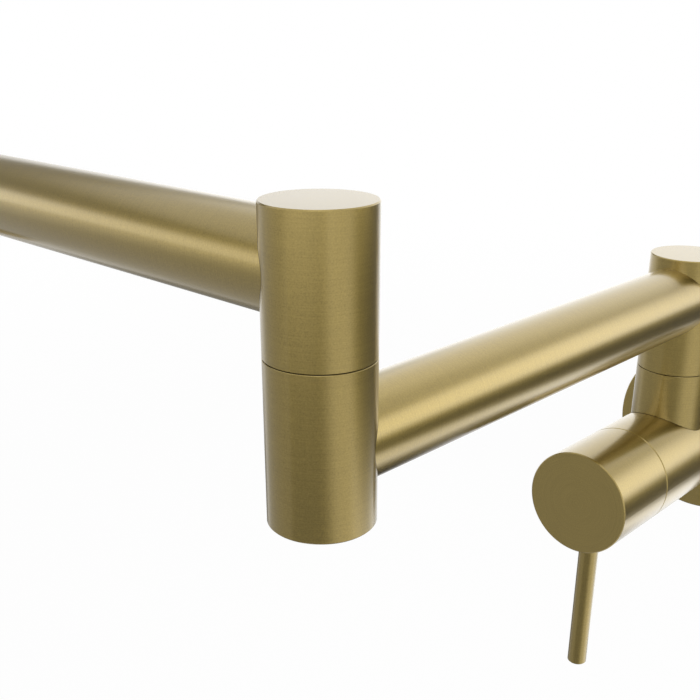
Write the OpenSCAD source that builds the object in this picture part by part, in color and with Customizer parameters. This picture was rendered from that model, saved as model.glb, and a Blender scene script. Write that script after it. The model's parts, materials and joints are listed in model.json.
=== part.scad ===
// Wall-mounted folding pot filler with two swivel joints and two quarter-turn valves.
// Millimetres, +Z up. The wall is the plane Y = 0 and the tap stands out towards -Y.
// The origin is the centre of the wall connection, on the axis of the valve body.
// At rest the inner arm is square to the wall and the outer arm lies parallel to it.

/* [Wall mounting] */
// Diameter of the round wall flange
flange_d = 89; // [84:1:110]
// Depth of the flange from the wall to its front face
flange_t = 8; // [7.5:0.5:12]
// Wall thickness of the flange
flange_wall = 2.5; // [2:0.25:3]
// Thickness of the wall plate behind the flange
plate_t = 3; // [2.5:0.25:3.5]
// Diameter of the circle of wall screws
screw_circle_d = 58; // [57:0.5:62]
// Number of wall screws
screw_count = 3; // [3:1:4]
// Shank diameter of a wall screw
screw_d = 4; // [3.5:0.25:4.5]
// Length of a wall screw from the wall plate's back face into the wall
screw_reach = 25; // [20:1:40]
// Outer diameter of the half-inch inlet thread
inlet_thread_d = 20.96; // [18:0.01:22]
// Bore of the inlet nipple
inlet_bore_d = 14; // [11:0.5:15]
// Length of thread that stands out of the wall face
inlet_reach = 20; // [14:1:30]

/* [Wall valve] */
// Outer diameter of the valve body and of its handle cap
barrel_d = 48; // [47:0.5:56]
// Distance from the flange's front face to the column axis
column_from_flange = 39; // [36:0.5:60]
// Distance from the column axis to the seam behind the handle cap
wall_seam_reach = 42.5; // [36:0.5:60]
// Length of the handle cap from that seam to its flat face
wall_cap_len = 38.5; // [34:0.5:50]
// Distance from the cap's face back to the lever's axis
wall_lever_back = 16; // [10:0.5:18]
// Length of the lever below the cap
wall_lever_len = 69; // [40:1:90]
// Diameter of the lever pins
lever_d = 9; // [7.5:0.5:10]

/* [Swivel column and elbow] */
// Outer diameter of the column and of the elbow
knuckle_d = 35; // [34:0.5:42]
// Height of the fixed neck above the top of the valve body
neck_h = 21.3; // [16:0.1:30]
// Height from the column seam up to the inner arm's axis
column_seam_drop = 34.4; // [30:0.1:60]
// Height of a knuckle's closed top above its arm's axis
shell_over_arm = 20.6; // [18:0.2:30]
// Height from the inner arm's axis up to the elbow seam
elbow_seam_rise = 29; // [27:0.5:40]
// Height from the elbow seam up to the outer arm's axis
elbow_seam_drop = 25.7; // [25:0.5:40]
// Depth of the elbow's foot below the inner arm's axis
elbow_foot_drop = 25.3; // [18:0.5:40]
// Width of the hairline seam between parts that turn
seam_gap = 0.3; // [0.2:0.05:0.5]
// Size of the small broken edge on every visible rim
edge_break = 0.4; // [0.2:0.1:0.8]

/* [Arms] */
// Outer diameter of both arm tubes
arm_d = 32; // [26:0.5:33]
// Wall thickness of the arm tubes
arm_wall = 1.5; // [1:0.25:3]
// Length from the column axis to the elbow axis
inner_arm_len = 241; // [180:1:320]
// Length from the elbow axis to the spout axis
outer_arm_len = 280; // [200:1:360]

/* [Outlet] */
// Outer diameter of the outlet valve and of its handle cap
outlet_d = 42; // [41:0.5:50]
// Distance from the spout axis to the seam behind the outlet handle cap
outlet_seam_reach = 31; // [30:0.5:45]
// Length of the outlet handle cap
outlet_cap_len = 31; // [28:0.5:40]
// Distance from the outlet cap's face back to its lever's axis
outlet_lever_back = 13; // [9:0.5:14]
// Length of the outlet lever below its cap
outlet_lever_len = 60; // [40:1:80]
// Length of the arm tube's seat inside the outlet valve
outlet_socket = 12; // [8:0.5:20]
// Outer diameter of the spout
spout_d = 26; // [25:0.25:29]
// Wall thickness of the spout
spout_wall = 2; // [1.5:0.25:2.5]
// Drop from the outer arm's axis to the mouth of the spout
spout_drop = 82; // [60:1:110]
// Height of the visible ring of the aerator
aerator_h = 10; // [8:0.5:14]

/* [Swivel internals] */
// Bore in which a hollow spindle turns
spindle_d = 22; // [21:0.25:23]
// Water way through the spindle
spindle_bore_d = 12; // [9:0.5:13]
// Diameter of the spindle's threaded foot
spindle_foot_d = 18; // [17:0.25:19]
// Length of the threaded foot
spindle_foot_len = 13; // [8:0.5:13]
// Height of the spindle above the seam
spindle_rise = 18; // [17.5:0.5:22]
// Thickness of the thrust washer in the seam
washer_t = 1.5; // [1:0.1:2]
// Thickness of the cord of every O-ring
o_ring_t = 1.8; // [1.6:0.1:2]
// Diameter of the grub screws
grub_d = 4; // [3:0.25:4.5]

/* [Cartridge] */
// Outer diameter of the ceramic cartridge
cartridge_d = 25; // [23:0.25:25.5]
// Diameter of the ceramic discs
disc_d = 19; // [17:0.25:20]
// Thickness of one ceramic disc
disc_t = 4; // [3:0.25:4.25]
// Diameter of the turning stem
stem_d = 10; // [8:0.25:11]
// Length of the cartridge's sealed part in front of its water chamber
cartridge_land = 9; // [7:0.25:10]
// Length of the nut that holds the cartridge
nut_len = 6.5; // [5:0.25:8]

/* [Fits] */
// Radial clearance of a shaft that turns in its bore
running_fit = 0.05; // [0.02:0.01:0.1]
// Radial clearance of parts that are screwed or pushed together
seat_fit = 0.05; // [0.02:0.01:0.1]
// Gap of the dark line where one turned part is saddled on another
saddle_gap = 0.15; // [0.05:0.05:0.3]

/* [Hidden] */
$fn = 96;

// Colours
brushed_brass = "#B3A06A";
raw_brass = "#C9A850";
steel = "#A9ABAD";
rubber = "#232323";
ceramic = "#E9E6DF";
polymer = "#D9D9D4";

// One overrun for every cut, and a full turn
overrun = 1;
full_turn = 360;
// Small breaks of edges at a seam and on hidden pieces
seam_break = 0.15;
fine_break = 0.3;

// Radii of the visible turned parts
flange_r = flange_d / 2;
barrel_r = barrel_d / 2;
knuckle_r = knuckle_d / 2;
arm_r = arm_d / 2;
arm_bore_r = arm_r - arm_wall;
outlet_r = outlet_d / 2;
spout_r = spout_d / 2;
lever_r = lever_d / 2;

// Places of the axes and seams
column_y = -(flange_t + column_from_flange);
elbow_y = column_y - inner_arm_len;
column_seam_z = barrel_r + neck_h;
inner_arm_z = column_seam_z + column_seam_drop;
elbow_seam_z = inner_arm_z + elbow_seam_rise;
outer_arm_z = elbow_seam_z + elbow_seam_drop;

// Swivel: heights are counted from the seam
spindle_r = spindle_d / 2;
journal_r = spindle_r - running_fit;
foot_r = spindle_foot_d / 2;
foot_bore_r = foot_r + seat_fit;
washer_sunk = washer_t - seam_gap;
washer_r = knuckle_r - 2.5 * edge_break - washer_t;
collar_t = 2.5;
collar_r = spindle_r + collar_t / 2;
collar_z = -washer_sunk - collar_t;
o_ring_r = o_ring_t / 2;
groove_w = o_ring_t + 2 * fine_break;
groove_r = journal_r - o_ring_t - seat_fit;
grub_r = grub_d / 2;
grub_tip_r = grub_r - 2 * fine_break;
retaining_w = 2 * (grub_tip_r + fine_break + running_fit);
retaining_depth = 1.5;
// The retaining screws face the wall side of each knuckle at rest
screw_angles = [100, 150];
retaining_z = seam_gap + fine_break + collar_t + retaining_w / 2;
lower_ring_z = retaining_z + retaining_w / 2 + fine_break + collar_t / 2 + groove_w / 2;
upper_ring_z = lower_ring_z + groove_w + collar_t / 2;
// Water ports, and how far the chamber they open from reaches beyond an arm's axis
port_r = foot_r - 2 * fine_break;
chamber_reach = foot_r;
neck_spigot_r = foot_r + (knuckle_r - foot_r) / 2;

// Cartridge: lengths are counted along its axis from the branch that it feeds
seat_back = chamber_reach;
foot_seal_t = 2;
cartridge_r = cartridge_d / 2;
cartridge_foot = foot_seal_t - seat_back;
disc_r = disc_d / 2;
pocket_r = disc_r + 2 * running_fit;
moving_disc_z = cartridge_foot + disc_t;
head_z = moving_disc_z + disc_t;
head_t = disc_t;
stem_r = stem_d / 2;
head_r = stem_r + fine_break;
pocket_end = head_z + head_t + seam_gap;
// The chamber round the cartridge takes this share of the metal that a valve body has there
chamber_share = 0.2;
wall_chamber_r = cartridge_r + chamber_share * (barrel_r - cartridge_r);
outlet_chamber_r = cartridge_r + chamber_share * (outlet_r - cartridge_r);
chamber_gap = 2;
chamber_front = chamber_reach + chamber_gap;
shoulder_z = chamber_front + cartridge_land;
cartridge_neck_wall = 4.5;
cartridge_neck_r = stem_r + cartridge_neck_wall;
nut_slot_w = 3;
nut_front = shoulder_z + nut_len;
cartridge_front = nut_front - fine_break;
side_port_r = head_t / 2 - fine_break;
disc_port_r = disc_r / 3.6;
disc_port_offset = disc_r / 2;
seal_bore_r = disc_port_offset + disc_port_r + fine_break;
// The neck's spigot enters the top of the valve body, clear of the chamber and of the spindle
spigot_share = 2 / 3;
spigot_floor = min(barrel_r - spigot_share * (barrel_r - wall_chamber_r),
    column_seam_z + collar_z - spindle_foot_len - fine_break);

// Handles
cap_wall = 4;
lever_thread_r = lever_r * 2 / 3;
lever_sink = 3;
lever_thread_len = 7;
hub_wall = 4;
drive_r = stem_r - 2 * fine_break;
drive_flat = drive_r * 1.6;
hub_r = drive_r + hub_wall;
hub_set_back = 1.5;
drive_end_gap = 0.5;
wall_face = wall_seam_reach + wall_cap_len;
outlet_face = outlet_seam_reach + outlet_cap_len;
// Angle of the grub screw round a handle cap, from a valve's own +X
cap_screw_angle = 180;
// The stems end just short of the caps' floors
wall_drive_end = cap_floor(wall_face, wall_lever_back) - drive_end_gap;
outlet_drive_end = cap_floor(outlet_face, outlet_lever_back) - drive_end_gap;

// Wall connection
collar_step = 2.5;
plate_bore_r = inlet_thread_d / 2 + collar_step;
collar_plate_r = plate_bore_r - 2 * seat_fit;
// The plate's boss takes this share of the metal between the nipple's collar and the barrel
boss_share = 0.345;
boss_r = plate_bore_r + boss_share * (barrel_r - plate_bore_r);
boss_h = 4.5;
body_rear_gap = 0.1;
collar_set_back = 0.5;
collar_front = boss_h + plate_t - collar_set_back;
inlet_seal_t = 1.5;
inlet_engagement = 12;
plate_r = screw_circle_d / 2 + screw_d * 1.75;
screw_head_r = screw_d * 0.95;
screw_neck_r = screw_d * 0.43;
flange_hub_wall = o_ring_t + flange_wall * 0.6;
flange_hub_back = plate_t + fine_break;
flange_ring_z = (flange_t + flange_hub_back) / 2;
body_lock_y = -(plate_t + body_rear_gap + grub_r + fine_break);

// Outlet
socket_floor = 5;
outlet_rear = -(seat_back + socket_floor + outlet_socket);
spout_bore_r = spout_r - spout_wall;
spigot_r = spout_bore_r + spout_wall / 2;
// The spout's spigot starts this far below the arm's axis
spigot_top = outlet_chamber_r + fine_break;
mouth_z = outer_arm_z - spout_drop;
aerator_neck_h = 6;
aerator_washer_t = 2;
aerator_thread_depth = 0.5;
aerator_neck_wall = 1.3;
aerator_neck_r = spout_bore_r + aerator_thread_depth;
aerator_bore_r = aerator_neck_r - aerator_neck_wall;
aerator_lip = 1.2;
aerator_lip_h = 1.2;
insert_h = 9;
insert_wall = 1.2;
insert_plate_t = 2.4;
screen_t = 0.6;
cell_pitch = 2.6;
cell_r = 0.95;
flat_depth = 0.6;

// A turned cylinder with its lower and upper rims broken
module turned(r, h, low = edge_break, high = edge_break) {
    rotate_extrude()
        polygon([[0, 0], [r - low, 0], [r, low], [r, h - high], [r - high, h], [0, h]]);
}

// A plain ring, standing on its face
module ring(r_out, r_in, h) {
    difference() {
        cylinder(r = r_out, h = h);
        translate([0, 0, -overrun]) cylinder(r = r_in, h = h + 2 * overrun);
    }
}

// An O-ring lying flat, with the given outer radius
module o_ring(r_out) {
    rotate_extrude() translate([r_out - o_ring_r, 0]) circle(r = o_ring_r, $fn = 32);
}

// A square groove cut round a shaft that is larger than r_in
module groove(r_in, w) {
    translate([0, 0, -w / 2]) ring(barrel_r, r_in, w);
}

// Places of the moving and fixed frames
module at_column() {
    translate([0, column_y, column_seam_z]) children();
}
module at_elbow() {
    translate([0, elbow_y, elbow_seam_z]) children();
}
// The valve frames look along +Z towards their handle, with +Y up
module on_wall_valve() {
    translate([0, column_y, 0]) rotate([90, 0, 0]) children();
}
module on_outlet_valve() {
    translate([-outer_arm_len, elbow_y, outer_arm_z]) rotate([90, 0, -90]) children();
}

// Swivel pieces, drawn round their own axis with the seam at height zero

// Hollow spindle: threaded foot, collar, journal, two O-ring grooves and a retaining groove
module swivel_spindle() {
    bored = spindle_foot_len + spindle_rise - collar_z + 2 * overrun;
    difference() {
        union() {
            translate([0, 0, collar_z - spindle_foot_len])
                turned(foot_r, spindle_foot_len + overrun, fine_break, 0);
            translate([0, 0, collar_z]) cylinder(r = collar_r, h = collar_t);
            translate([0, 0, collar_z])
                turned(journal_r, spindle_rise - collar_z, 0, fine_break);
        }
        translate([0, 0, collar_z - spindle_foot_len - overrun])
            cylinder(r = spindle_bore_d / 2, h = bored);
        translate([0, 0, retaining_z]) groove(journal_r - retaining_depth, retaining_w);
        for (z = [lower_ring_z, upper_ring_z]) translate([0, 0, z]) groove(groove_r, groove_w);
    }
}

// The two O-rings in the spindle's grooves
module swivel_o_rings() {
    for (z = [lower_ring_z, upper_ring_z]) translate([0, 0, z]) o_ring(journal_r);
}

// Thrust washer: sunk in the lower part, it holds the seam open
module swivel_washer() {
    translate([0, 0, -washer_sunk]) ring(washer_r, journal_r + 2 * running_fit, washer_t);
}

// Cut in the lower part of a swivel: recess for washer and collar, thread and water way
module swivel_socket(depth) {
    translate([0, 0, -washer_sunk]) cylinder(r = washer_r + seat_fit, h = washer_sunk + overrun);
    translate([0, 0, collar_z]) cylinder(r = collar_r + seat_fit, h = collar_t + overrun);
    translate([0, 0, -depth]) cylinder(r = foot_bore_r, h = depth);
}

// Cut in the upper part of a swivel: the bore, its chamber and the retaining screws' holes
module swivel_bore(arm_height) {
    translate([0, 0, -overrun])
        cylinder(r = spindle_r, h = arm_height + chamber_reach + overrun);
    for (a = screw_angles) rotate(a) translate([spindle_r / 2, 0, retaining_z]) rotate([0, 90, 0])
        cylinder(r = grub_r + seat_fit, h = knuckle_r);
}

// Grub screws with a dog point that runs in the retaining groove
module retaining_screws() {
    tip = journal_r - retaining_depth + fine_break;
    shoulder = spindle_r + seam_gap;
    sunk = knuckle_r - edge_break - fine_break;
    for (a = screw_angles) rotate(a) translate([0, 0, retaining_z]) rotate([0, 90, 0]) difference() {
        union() {
            translate([0, 0, tip]) cylinder(r = grub_tip_r, h = shoulder - tip + fine_break);
            translate([0, 0, shoulder]) cylinder(r = grub_r, h = sunk - shoulder);
        }
        hex_socket(sunk);
    }
}

// Hexagon socket of a grub screw whose outer end lies at the given height
module hex_socket(top) {
    depth = grub_r;
    translate([0, 0, top - depth]) cylinder(r = grub_r * 0.6, h = depth + overrun, $fn = 6);
}

// A grub screw standing on its tip, with its socket on top
module grub_screw(h) {
    difference() {
        turned(grub_r, h, fine_break, 0);
        hex_socket(h);
    }
}

// Water port from a knuckle's chamber into its arm, along +X
module arm_port() {
    rotate([0, 90, 0]) cylinder(r = port_r, h = knuckle_r + overrun);
}

// Arm tube along +X from one upright knuckle's axis, coped over both of its ends
module coped_tube(len, far_knuckle) {
    difference() {
        rotate([0, 90, 0]) cylinder(r = arm_r, h = len);
        translate([-overrun, 0, 0]) rotate([0, 90, 0]) cylinder(r = arm_bore_r, h = len + 2 * overrun);
        translate([0, 0, -arm_d]) cylinder(r = knuckle_r + seat_fit, h = 2 * arm_d);
        if (far_knuckle) translate([len, 0, -arm_d]) cylinder(r = knuckle_r + seat_fit, h = 2 * arm_d);
    }
}

// Valve pieces, drawn along +Z with the branch at height zero

// Bore of a valve body: water way, chamber, land for the cartridge's O-ring, nut thread
module valve_bore(chamber_r, front) {
    translate([0, 0, -seat_back]) cylinder(r = chamber_r, h = seat_back + chamber_front);
    translate([0, 0, chamber_front - overrun])
        cylinder(r = cartridge_r + seat_fit, h = cartridge_land + 2 * overrun);
    translate([0, 0, shoulder_z]) cylinder(r = chamber_r, h = front - shoulder_z + overrun);
}

// Cartridge housing with disc pocket, side ports, stem bore and O-ring groove
module cartridge_body() {
    difference() {
        union() {
            translate([0, 0, cartridge_foot])
                turned(cartridge_r, shoulder_z - cartridge_foot, fine_break, fine_break);
            translate([0, 0, shoulder_z - overrun])
                turned(cartridge_neck_r, cartridge_front - shoulder_z + overrun, 0, fine_break);
        }
        translate([0, 0, cartridge_foot - overrun])
            cylinder(r = pocket_r, h = pocket_end - cartridge_foot + overrun);
        translate([0, 0, pocket_end - overrun])
            cylinder(r = stem_r, h = cartridge_front - pocket_end + 2 * overrun);
        for (a = [45, 135]) rotate(a) translate([-cartridge_r - overrun, 0, head_z + head_t / 2])
            rotate([0, 90, 0]) cylinder(r = side_port_r, h = cartridge_d + 2 * overrun);
        translate([0, 0, chamber_front + cartridge_land / 2])
            groove(cartridge_r - o_ring_t, groove_w);
    }
}

// O-ring on the cartridge housing
module cartridge_o_ring() {
    translate([0, 0, chamber_front + cartridge_land / 2]) o_ring(cartridge_r);
}

// Rubber ring between the seat and the cartridge's foot
module cartridge_seal() {
    translate([0, 0, -seat_back]) ring(cartridge_r - 2 * fine_break, seal_bore_r, foot_seal_t);
}

// Ceramic disc with two water ports, turned by the given angle
module ceramic_disc(z, turn) {
    translate([0, 0, z]) rotate(turn) difference() {
        cylinder(r = disc_r, h = disc_t);
        for (s = [-1, 1]) translate([s * disc_port_offset, 0, -overrun])
            cylinder(r = disc_port_r, h = disc_t + 2 * overrun);
    }
}

// Nut with two spanner slots, in the thread of a chamber's radius
module cartridge_nut(chamber_r) {
    slot_depth = nut_len / 2;
    translate([0, 0, shoulder_z]) difference() {
        turned(chamber_r - seat_fit, nut_len, fine_break, fine_break);
        translate([0, 0, -overrun])
            cylinder(r = cartridge_neck_r + seat_fit, h = nut_len + 2 * overrun);
        translate([-chamber_r - overrun, -nut_slot_w / 2, nut_len - slot_depth])
            cube([2 * (chamber_r + overrun), nut_slot_w, slot_depth + overrun]);
    }
}

// Round bar with two flats
module two_flats(r, flat, h) {
    intersection() {
        cylinder(r = r, h = h);
        translate([-flat / 2, -r - overrun, 0]) cube([flat, 2 * (r + overrun), h]);
    }
}

// Stem: a head that turns the moving disc, a journal and a driving end with two flats
module cartridge_stem(drive_end) {
    translate([0, 0, head_z]) cylinder(r = head_r, h = head_t);
    translate([0, 0, head_z]) cylinder(r = stem_r - running_fit, h = nut_front - head_z);
    translate([0, 0, head_z]) two_flats(drive_r, drive_flat, drive_end - head_z);
}

// Height of the floor to which a handle cap is hollowed from the rear
function cap_floor(face, lever_back) = face - lever_back - lever_thread_r - cap_wall;

// Handle cap: closed flat face, hollow rear, hub with two flats and the lever's socket
module handle_cap(r, seam, face, lever_back) {
    rear = seam + seam_gap;
    floor_z = cap_floor(face, lever_back);
    difference() {
        translate([0, 0, rear]) turned(r, face - rear, seam_break, edge_break);
        difference() {
            translate([0, 0, rear - overrun]) cylinder(r = r - cap_wall, h = floor_z - rear + overrun);
            translate([0, 0, rear + hub_set_back]) cylinder(r = hub_r, h = floor_z - rear);
        }
        translate([0, 0, rear - overrun])
            two_flats(drive_r + seat_fit, drive_flat + 2 * seat_fit, floor_z - rear + overrun);
        translate([0, 0, face - lever_back]) rotate([90, 0, 0]) {
            translate([0, 0, r - lever_sink]) cylinder(r = lever_r + seat_fit, h = lever_sink + overrun);
            translate([0, 0, r - lever_sink - lever_thread_len])
                cylinder(r = lever_thread_r + seat_fit, h = lever_thread_len + overrun);
        }
        rotate(cap_screw_angle) translate([0, 0, cap_screw_z(seam, face, lever_back)]) rotate([0, 90, 0])
            cylinder(r = grub_r + seat_fit, h = r + overrun);
    }
}

// Height of the grub screw that locks a cap on its stem
function cap_screw_z(seam, face, lever_back) =
    (seam + seam_gap + hub_set_back + cap_floor(face, lever_back)) / 2;

// That grub screw, bearing on a flat of the stem
module cap_screw(seam, face, lever_back) {
    rotate(cap_screw_angle) translate([drive_flat / 2 + seat_fit, 0, cap_screw_z(seam, face, lever_back)])
        rotate([0, 90, 0]) grub_screw(hub_r - drive_flat / 2);
}

// Straight round lever pin, hanging from the cap along -Y
module lever_pin(r, face, lever_back, len) {
    translate([0, 0, face - lever_back]) rotate([90, 0, 0]) {
        translate([0, 0, r - lever_sink]) turned(lever_r, len + lever_sink, 0, edge_break);
        translate([0, 0, r - lever_sink - lever_thread_len + fine_break])
            turned(lever_thread_r, lever_thread_len, fine_break, 0);
    }
}

// Wall mounting

// Places the children at each wall screw
module each_wall_screw() {
    for (i = [0 : screw_count - 1]) rotate([0, i * full_turn / screw_count + 90, 0])
        translate([screw_circle_d / 2, 0, 0]) children();
}

// Profile of a wall screw along -Y from the wall face: countersunk head and its neck
module wall_screw(head_r, shank_r, front, back) {
    rotate([90, 0, 0]) {
        translate([0, 0, -back]) cylinder(r = shank_r, h = back + front);
        translate([0, 0, front - head_r + shank_r])
            cylinder(r1 = shank_r, r2 = head_r, h = head_r - shank_r);
    }
}

// Plate with a boss that carries the valve body
module wall_plate() {
    color(steel) difference() {
        rotate([90, 0, 0]) {
            turned(plate_r, plate_t, fine_break, fine_break);
            cylinder(r = boss_r, h = plate_t + boss_h);
        }
        rotate([90, 0, 0]) translate([0, 0, -overrun])
            cylinder(r = plate_bore_r, h = plate_t + boss_h + 2 * overrun);
        each_wall_screw() {
            wall_screw(screw_head_r + seat_fit, screw_d / 2 + seat_fit, plate_t, overrun);
            translate([0, -plate_t, 0]) rotate([90, 0, 0])
                cylinder(r = screw_head_r + seat_fit, h = overrun);
        }
    }
}

// Countersunk wall screws with a cross recess: the thread starts where they leave the plate
module wall_screws() {
    recess_w = screw_d / 4;
    recess_len = screw_head_r * 1.2;
    recess_depth = plate_t / 3;
    color(steel) each_wall_screw() difference() {
        union() {
            wall_screw(screw_head_r, screw_neck_r, plate_t, overrun);
            rotate([-90, 0, 0]) cylinder(r = screw_d / 2, h = screw_reach - screw_d);
            translate([0, screw_reach - screw_d, 0]) rotate([-90, 0, 0])
                cylinder(r1 = screw_d / 2, r2 = screw_d / 8, h = screw_d);
        }
        for (a = [0, 90]) rotate([0, a, 0])
            translate([-recess_len / 2, -plate_t - overrun, -recess_w / 2])
            cube([recess_len, recess_depth + overrun, recess_w]);
    }
}

// Double nipple: the wall thread, a collar in the plate and the thread in the valve body
module inlet_nipple() {
    body_end = collar_front + inlet_seal_t + inlet_engagement;
    color(raw_brass) rotate([90, 0, 0]) difference() {
        union() {
            translate([0, 0, -inlet_reach]) cylinder(r = inlet_thread_d / 2, h = inlet_reach);
            cylinder(r = collar_plate_r, h = collar_front);
            translate([0, 0, collar_front])
                turned(inlet_thread_d / 2, body_end - collar_front, 0, fine_break);
        }
        translate([0, 0, -inlet_reach - overrun])
            cylinder(r = inlet_bore_d / 2, h = inlet_reach + body_end + 2 * overrun);
    }
}

// Rubber ring between the nipple's collar and the valve body
module inlet_seal() {
    color(rubber) rotate([90, 0, 0]) translate([0, 0, collar_front])
        ring(collar_plate_r, inlet_thread_d / 2 + seat_fit, inlet_seal_t);
}

// Two grub screws that lock the valve body on the plate's boss
module body_lock_screws() {
    color(steel) translate([0, body_lock_y, 0]) for (a = [0, 180]) rotate([0, a, 0])
        translate([boss_r + seat_fit, 0, 0]) rotate([0, 90, 0])
        grub_screw(barrel_r - boss_r - 2 * fine_break);
}

// Flange: a shallow turned cup with a hub round the barrel
module wall_flange() {
    hub_bore_r = barrel_r + saddle_gap;
    color(brushed_brass) rotate([90, 0, 0]) difference() {
        turned(flange_r, flange_t, 0, edge_break);
        difference() {
            translate([0, 0, -overrun])
                cylinder(r = flange_r - flange_wall, h = flange_t - flange_wall + overrun);
            translate([0, 0, flange_hub_back])
                cylinder(r = hub_bore_r + flange_hub_wall, h = flange_t);
        }
        translate([0, 0, -overrun]) cylinder(r = hub_bore_r, h = flange_t + 2 * overrun);
        translate([0, 0, flange_ring_z]) translate([0, 0, -groove_w / 2])
            cylinder(r = barrel_r + o_ring_t + 2 * seat_fit, h = groove_w);
    }
}

// O-ring in the flange's hub: its grip holds the flange on the barrel
module flange_o_ring() {
    color(rubber) rotate([90, 0, 0]) translate([0, 0, flange_ring_z])
        o_ring(barrel_r + o_ring_t + seat_fit);
}

// Fixed valve body and swivel neck

// Horizontal barrel with the wall connection, cartridge bore and the neck's socket
module valve_body() {
    rear = plate_t + body_rear_gap + column_y;
    wall = -column_y;
    seal_floor = collar_front + inlet_seal_t;
    color(brushed_brass) difference() {
        on_wall_valve() difference() {
            translate([0, 0, rear]) turned(barrel_r, wall_seam_reach - rear, 0, edge_break);
            valve_bore(wall_chamber_r, wall_seam_reach);
            translate([0, 0, -wall]) {
                cylinder(r = boss_r + seat_fit, h = plate_t + boss_h + seat_fit);
                cylinder(r = plate_bore_r, h = seal_floor);
                cylinder(r = inlet_thread_d / 2 + seat_fit, h = seal_floor + inlet_engagement + overrun);
                cylinder(r = inlet_bore_d / 2, h = wall);
            }
        }
        translate([0, column_y, spigot_floor]) cylinder(r = neck_spigot_r + seat_fit, h = barrel_r);
        translate([0, column_y, 0]) cylinder(r = port_r, h = barrel_r);
        translate([0, body_lock_y, 0]) rotate([0, 90, 0])
            translate([0, 0, -barrel_r - overrun])
            cylinder(r = grub_r + seat_fit, h = 2 * (barrel_r + overrun));
    }
}

// Fixed neck: saddled on the barrel, with a spigot below and the swivel's socket above
module swivel_neck() {
    color(brushed_brass) at_column() difference() {
        union() {
            difference() {
                translate([0, 0, -column_seam_z]) turned(knuckle_r, column_seam_z, 0, seam_break);
                translate([0, barrel_d, -column_seam_z]) rotate([90, 0, 0])
                    cylinder(r = barrel_r + saddle_gap, h = 2 * barrel_d);
            }
            translate([0, 0, spigot_floor - column_seam_z])
                cylinder(r = neck_spigot_r, h = barrel_r + neck_h / 2 - spigot_floor);
        }
        swivel_socket(column_seam_z);
    }
}

// Wall column: the arm leaves the turning shell along -Y

module column_spindle() {
    color(raw_brass) at_column() swivel_spindle();
}
module column_o_rings() {
    color(rubber) at_column() swivel_o_rings();
}
module column_washer() {
    color(polymer) at_column() swivel_washer();
}
module column_retaining_screws() {
    color(steel) at_column() retaining_screws();
}
module column_shell() {
    color(brushed_brass) at_column() difference() {
        translate([0, 0, seam_gap])
            turned(knuckle_r, column_seam_drop + shell_over_arm - seam_gap, seam_break, edge_break);
        swivel_bore(column_seam_drop);
        translate([0, 0, column_seam_drop]) rotate(-90) arm_port();
    }
}

// Inner arm, from the column to the lower half of the elbow
module inner_arm_tube() {
    color(brushed_brass) translate([0, column_y, inner_arm_z]) rotate(-90)
        coped_tube(inner_arm_len, true);
}
module elbow_lower_shell() {
    foot = -elbow_seam_rise - elbow_foot_drop;
    color(brushed_brass) at_elbow() difference() {
        translate([0, 0, foot]) turned(knuckle_r, -foot, edge_break, seam_break);
        swivel_socket(elbow_seam_rise + chamber_reach);
        translate([0, 0, -elbow_seam_rise]) rotate(90) arm_port();
    }
}
module elbow_spindle() {
    color(raw_brass) at_elbow() swivel_spindle();
}
module elbow_o_rings() {
    color(rubber) at_elbow() swivel_o_rings();
}
module elbow_washer() {
    color(polymer) at_elbow() swivel_washer();
}

// Outer arm, from the upper half of the elbow to the outlet valve

module elbow_upper_shell() {
    color(brushed_brass) at_elbow() difference() {
        translate([0, 0, seam_gap])
            turned(knuckle_r, elbow_seam_drop + shell_over_arm - seam_gap, seam_break, edge_break);
        swivel_bore(elbow_seam_drop);
        translate([0, 0, elbow_seam_drop]) rotate(180) arm_port();
    }
}
module elbow_retaining_screws() {
    color(steel) at_elbow() retaining_screws();
}
module outer_arm_tube() {
    color(brushed_brass) translate([0, elbow_y, outer_arm_z]) rotate(180)
        coped_tube(outer_arm_len - seat_back - socket_floor, false);
}

// Outlet valve body: tube socket at the rear, cartridge bore in front, spout bore below
module outlet_valve_body() {
    color(brushed_brass) on_outlet_valve() difference() {
        translate([0, 0, outlet_rear])
            turned(outlet_r, outlet_seam_reach - outlet_rear, edge_break, edge_break);
        valve_bore(outlet_chamber_r, outlet_seam_reach);
        translate([0, 0, outlet_rear - overrun])
            cylinder(r = arm_r + seat_fit, h = outlet_socket + overrun);
        translate([0, 0, outlet_rear]) cylinder(r = inlet_bore_d / 2, h = -outlet_rear);
        rotate([90, 0, 0]) {
            translate([0, 0, spigot_top]) cylinder(r = spigot_r + seat_fit, h = outlet_r);
            cylinder(r = port_r, h = outlet_r);
        }
    }
}

// Straight spout: spigot and saddle above, thread for the aerator below
module spout_tube() {
    low = spout_drop - aerator_h;
    color(brushed_brass) translate([-outer_arm_len, elbow_y, outer_arm_z]) rotate([180, 0, 0])
        difference() {
            union() {
                difference() {
                    turned(spout_r, low, 0, seam_break);
                    translate([-outlet_d, 0, 0]) rotate([0, 90, 0])
                        cylinder(r = outlet_r + saddle_gap, h = 2 * outlet_d);
                }
                translate([0, 0, spigot_top + seat_fit])
                    cylinder(r = spigot_r, h = outlet_r + spout_wall - spigot_top);
            }
            translate([0, 0, -overrun]) cylinder(r = spout_bore_r, h = spout_drop);
            translate([0, 0, low - aerator_neck_h - aerator_washer_t])
                cylinder(r = aerator_neck_r + seat_fit, h = spout_drop);
        }
}

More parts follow.
